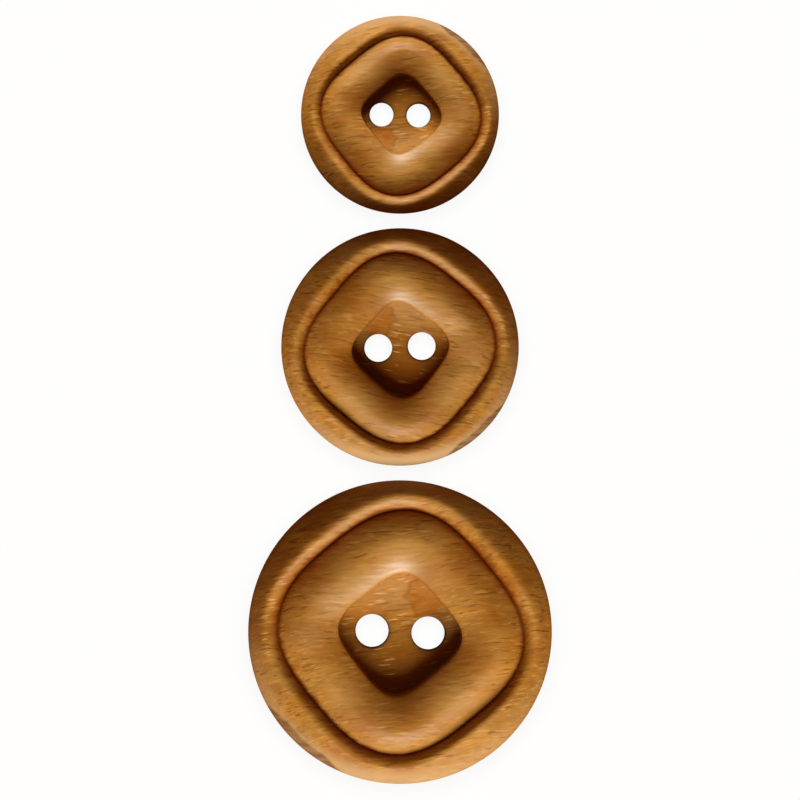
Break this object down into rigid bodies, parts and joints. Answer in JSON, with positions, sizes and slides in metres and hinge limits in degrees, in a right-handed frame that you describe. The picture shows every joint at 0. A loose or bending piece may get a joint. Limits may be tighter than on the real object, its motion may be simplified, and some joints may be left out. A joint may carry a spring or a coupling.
{
  "type": "graded set of two-hole wooden buttons",
  "caption": "Round sew-through wooden buttons in graded sizes, each with a carved rounded-square groove round a cushion and a square recess that holds paired sewing holes.",
  "frame": {"origin": "middle of the column of buttons, on the surface that their backs rest on", "axes": "+Z out of the carved faces, +Y along the column from the large button to the small one, +X to the right along the lines of sewing holes as in the picture"},
  "size_m": [0.023, 0.0582, 0.0042],
  "materials": {
    "honey_wood": "stained honey brown with a thin satin lacquer, fine straight grain, darker in the carved groove"
  },
  "bodies": {
    "root": {"small_button": "honey_wood", "medium_button": "honey_wood", "large_button": "honey_wood"}
  },
  "joints": []
}
